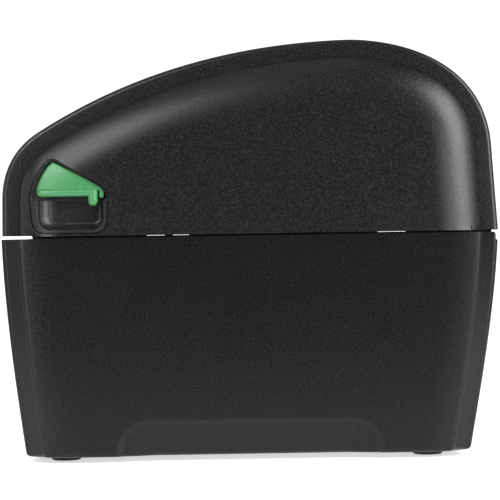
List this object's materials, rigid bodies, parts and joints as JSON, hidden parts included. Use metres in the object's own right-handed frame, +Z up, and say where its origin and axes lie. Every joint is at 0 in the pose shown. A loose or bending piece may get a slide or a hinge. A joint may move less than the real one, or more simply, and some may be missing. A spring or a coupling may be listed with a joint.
{
  "type": "label printer",
  "caption": "Desktop thermal label printer with a tall rounded lid on a tapering base, a rear hinge, side release levers and a roll bay.",
  "frame": {"origin": "middle of the outline on the plane of the feet, at the table", "axes": "+Z up, -Y towards the front with the label slot, +X to the user's right side"},
  "size_m": [0.108, 0.2046, 0.172],
  "materials": {
    "black_plastic": "fine-grained matte",
    "gloss_black": "glossy",
    "inner_plastic": "satin",
    "green_plastic": "satin",
    "white_plastic": "satin",
    "soft_rubber": "matte",
    "steel": "satin",
    "aluminium": "satin",
    "ceramic": "satin",
    "board": "satin",
    "chips": "satin",
    "cable": "satin",
    "bush": "satin",
    "lens": "frosted"
  },
  "bodies": {
    "base": {"base_housing": "black_plastic", "bottom_plate": "inner_plastic", "rubber_feet": "soft_rubber", "bottom_screws": "steel", "rear_panel": "inner_plastic", "panel_screws": "steel", "main_board": "board", "board_parts": "chips", "usb_socket": "steel", "power_socket": "chips", "serial_socket": "steel", "switch_frame": "gloss_black", "media_tub": "inner_plastic", "label_deck": "inner_plastic", "label_sensor": "gloss_black", "print_frame": "steel", "frame_bushes": "bush", "catch_pins": "steel", "idler_stud": "steel", "motor_body": "steel", "guide_pinion_stud": "steel", "hinge_mounts": "inner_plastic", "hinge_pins": "steel"},
    "switch": {"switch_rocker": "gloss_black"},
    "motor_rotor": {"motor_pinion": "bush"},
    "idler": {"idler_gear": "white_plastic"},
    "platen": {"platen_shaft": "steel", "platen_rubber": "soft_rubber", "platen_gear": "white_plastic"},
    "right_guide": {"guide_right": "inner_plastic"},
    "left_guide": {"guide_left": "inner_plastic"},
    "guide_gear": {"guide_pinion": "white_plastic"},
    "lid": {"lid_shell": "black_plastic", "lid_liner": "inner_plastic", "lid_hinge_arms": "inner_plastic", "lid_screws": "steel", "finger_pocket_right": "gloss_black", "finger_pocket_left": "gloss_black", "tear_bar": "steel", "head_bracket": "steel", "head_pivot_pin": "steel", "head_cable": "cable", "button_board": "board", "light_ring": "lens", "latch_spring": "steel"},
    "head": {"head_heat_sink": "aluminium", "head_ceramic": "ceramic", "head_springs": "steel"},
    "button": {"feed_button": "inner_plastic"},
    "latch": {"latch_shaft": "steel", "latch_hooks": "steel", "lever_right": "green_plastic", "lever_left": "green_plastic"}
  },
  "joints": [
    {"name": "lid_hinge", "type": "hinge", "parent": "base", "child": "lid", "pos_m": [0, 0.0984, 0.0884], "axis": [-1, 0, 0], "range_deg": [0, 95]},
    {"name": "latch_turn", "type": "hinge", "parent": "lid", "child": "latch", "pos_m": [0, -0.0798, 0.1192], "axis": [-1, 0, 0], "range_deg": [0, 8], "stiffness_Nm_per_rad": 0.4, "springref_deg": -14.32},
    {"name": "head_tilt", "type": "hinge", "parent": "lid", "child": "head", "pos_m": [0, -0.066, 0.103], "axis": [-1, 0, 0], "range_deg": [0, 3], "stiffness_Nm_per_rad": 0.8, "springref_deg": -17.19},
    {"name": "button_press", "type": "slide", "parent": "lid", "child": "button", "axis": [0, 0.4648, -0.8854], "range_m": [0, 0.0012], "stiffness_N_per_m": 300, "springref_m": -0.001},
    {"name": "platen_turn", "type": "hinge", "parent": "base", "child": "platen", "pos_m": [0, -0.081, 0.0848], "axis": [1, 0, 0], "continuous": true},
    {"name": "idler_turn", "type": "hinge", "parent": "base", "child": "idler", "pos_m": [0, -0.07864, 0.07141], "axis": [1, 0, 0], "continuous": true},
    {"name": "motor_turn", "type": "hinge", "parent": "base", "child": "motor_rotor", "pos_m": [0, -0.07305, 0.05054], "axis": [1, 0, 0], "continuous": true},
    {"name": "right_guide_slide", "type": "slide", "parent": "base", "child": "right_guide", "axis": [-1, 0, 0], "range_m": [0, 0.018]},
    {"name": "left_guide_slide", "type": "slide", "parent": "base", "child": "left_guide", "axis": [1, 0, 0], "range_m": [0, 0.018]},
    {"name": "guide_gear_turn", "type": "hinge", "parent": "base", "child": "guide_gear", "pos_m": [0, 0.008, 0.0265], "axis": [0, 0, 1], "range_deg": [0, 172]},
    {"name": "switch_rock", "type": "hinge", "parent": "base", "child": "switch", "pos_m": [-0.029, 0.0842, 0.0225], "axis": [1, 0, 0], "range_deg": [0, 12]}
  ],
  "couplings": [
    {"joint": "idler_turn", "follows": "platen_turn", "ratio": -1.125},
    {"joint": "motor_turn", "follows": "platen_turn", "ratio": 3.2143},
    {"joint": "left_guide_slide", "follows": "right_guide_slide", "ratio": 1},
    {"joint": "guide_gear_turn", "follows": "right_guide_slide", "rad_per_m": 166.67}
  ]
}
